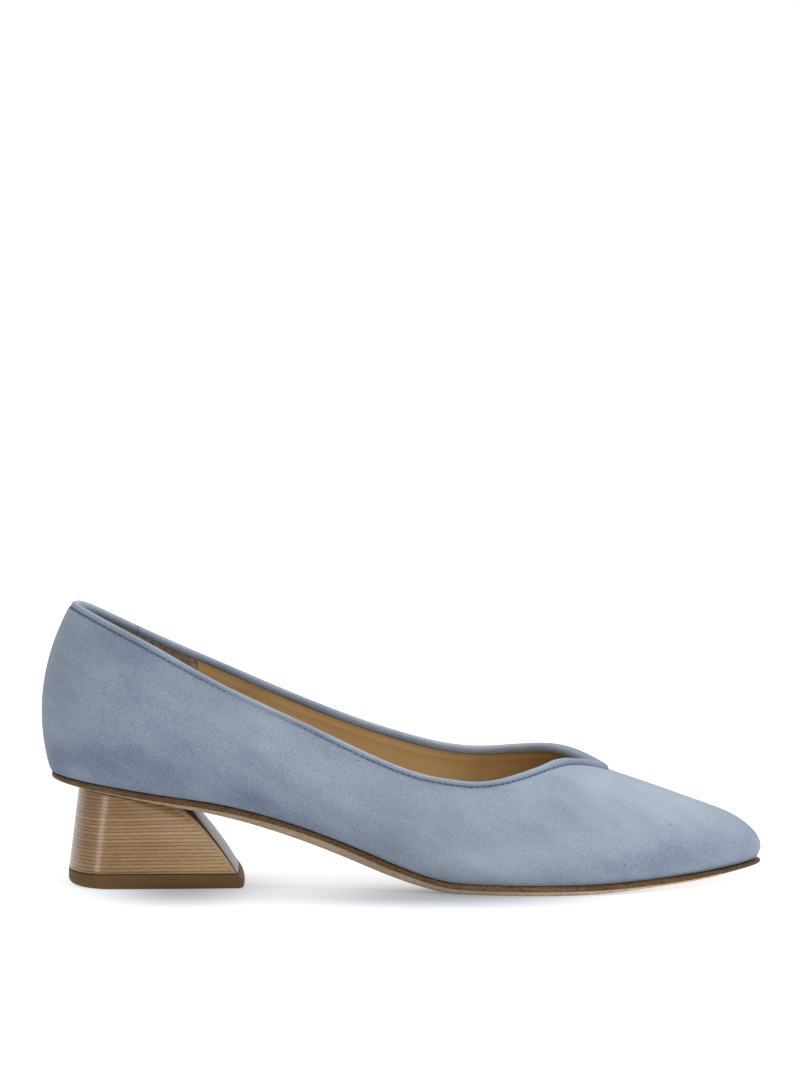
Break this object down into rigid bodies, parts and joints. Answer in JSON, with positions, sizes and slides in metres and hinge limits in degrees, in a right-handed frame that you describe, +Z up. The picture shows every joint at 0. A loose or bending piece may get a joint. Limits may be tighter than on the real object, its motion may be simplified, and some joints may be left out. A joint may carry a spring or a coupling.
{
  "type": "block-heel pump shoe",
  "caption": "Pointed-toe slip-on pump in suede with a V-cut throat, rolled collar binding, thin leather sole and a low stacked block heel; worn on the right foot.",
  "frame": {"origin": "on the floor under the middle of the shoe's bounding box", "axes": "+X to the toe, +Y to the inner (medial) side of the right foot, +Z up"},
  "size_m": [0.2506, 0.0766, 0.0976],
  "materials": {
    "suede": "napped grey-blue suede, matt, with lighter and darker brushed patches",
    "suede_binding": "rolled grey-blue suede strip, stitched along its lower edge",
    "lining_leather": "smooth ochre lining leather",
    "sole_leather": "dark-brown dressed edge over a natural leather bevel",
    "stacked_heel": "fine horizontal layers under clear lacquer",
    "lift_rubber": "matt dark-brown rubber"
  },
  "bodies": {
    "root": {"upper": "suede", "topline_binding": "suede_binding", "insole": "lining_leather", "outsole": "sole_leather", "heel_block": "stacked_heel", "top_lift": "lift_rubber"}
  },
  "joints": []
}
